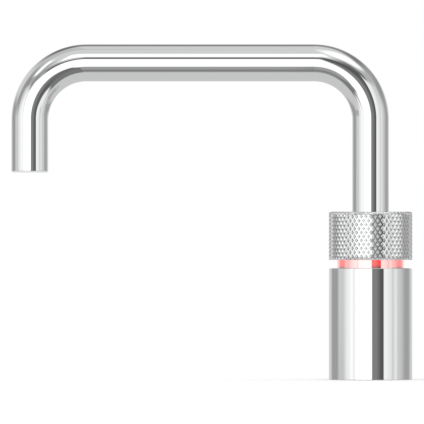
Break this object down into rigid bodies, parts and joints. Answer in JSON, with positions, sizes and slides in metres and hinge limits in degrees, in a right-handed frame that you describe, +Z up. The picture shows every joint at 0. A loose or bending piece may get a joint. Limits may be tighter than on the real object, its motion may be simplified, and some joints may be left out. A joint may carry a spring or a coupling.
{
  "type": "boiling water tap",
  "caption": "Single-hole boiling water tap: round base, knurled push-and-turn knob with a light ring below it, and a square-bend spout that swivels and lifts",
  "frame": {"origin": "on the worktop's upper face, on the axis of the column and of the tap hole", "axes": "+Z up along the column, -X along the spout at rest, -Y toward the user"},
  "size_m": [0.2386, 0.052, 0.2825],
  "materials": {
    "polished_chrome": "mirror polish",
    "lit_chrome": "mirror polish with a red glow",
    "brass": "turned",
    "spring_steel": "blued",
    "stainless_steel": "fine turned",
    "grey_polymer": "moulded",
    "white_polymer": "moulded",
    "black_polymer": "moulded",
    "black_rubber": "matt",
    "green_board": "lacquered",
    "lamp": "clear cap"
  },
  "bodies": {
    "column": {"core": "brass", "core_rings": "spring_steel", "upper_bush": "grey_polymer", "base_sleeve": "polished_chrome", "base_screw": "stainless_steel", "foot_gasket": "black_rubber", "light_ring": "lit_chrome", "lamp_board": "green_board", "lamps": "lamp", "knob_sensors": "black_polymer", "board_holder": "black_polymer", "spring_seat": "stainless_steel", "knob_spring": "spring_steel", "riser": "brass", "riser_seals": "black_rubber", "bottom_plug": "brass", "supply_tail": "brass", "cable_gland": "black_polymer", "lamp_lead": "black_polymer"},
    "lift": {"lift_sleeve": "grey_polymer", "brake_ring": "black_rubber"},
    "spout": {"spout_tube": "polished_chrome", "outlet_body": "grey_polymer", "outlet_seal": "black_rubber", "flow_plate": "stainless_steel", "flow_plate_retainer": "spring_steel", "spout_liner": "white_polymer", "liner_spacers": "white_polymer", "water_sleeve": "white_polymer", "end_collar": "brass", "tube_ring": "spring_steel"},
    "carrier": {"knob_carrier": "grey_polymer", "stop_pin": "stainless_steel", "hub_keeper": "spring_steel"},
    "knob": {"knob_shell": "polished_chrome", "knob_hub": "black_polymer", "knob_magnets": "stainless_steel", "detent_ball": "stainless_steel", "detent_spring": "spring_steel"},
    "clamp": {"rubber_washer": "black_rubber", "steel_washer": "stainless_steel", "mounting_nut": "brass"}
  },
  "joints": [
    {"name": "spout_lift", "type": "slide", "parent": "column", "child": "lift", "axis": [0, 0, 1], "range_m": [0, 0.045]},
    {"name": "spout_swivel", "type": "hinge", "parent": "lift", "child": "spout", "pos_m": [0, 0, 0], "axis": [0, 0, 1], "continuous": true},
    {"name": "knob_push", "type": "slide", "parent": "column", "child": "carrier", "axis": [0, 0, 1], "range_m": [-0.003, 0], "stiffness_N_per_m": 1500, "springref_m": 0.004, "deforming": ["knob_spring"]},
    {"name": "knob_turn", "type": "hinge", "parent": "carrier", "child": "knob", "pos_m": [0, 0, 0], "axis": [0, 0, 1], "range_deg": [0, 90]},
    {"name": "clamp_travel", "type": "slide", "parent": "column", "child": "clamp", "axis": [0, 0, 1], "range_m": [-0.085, 0.022]}
  ]
}
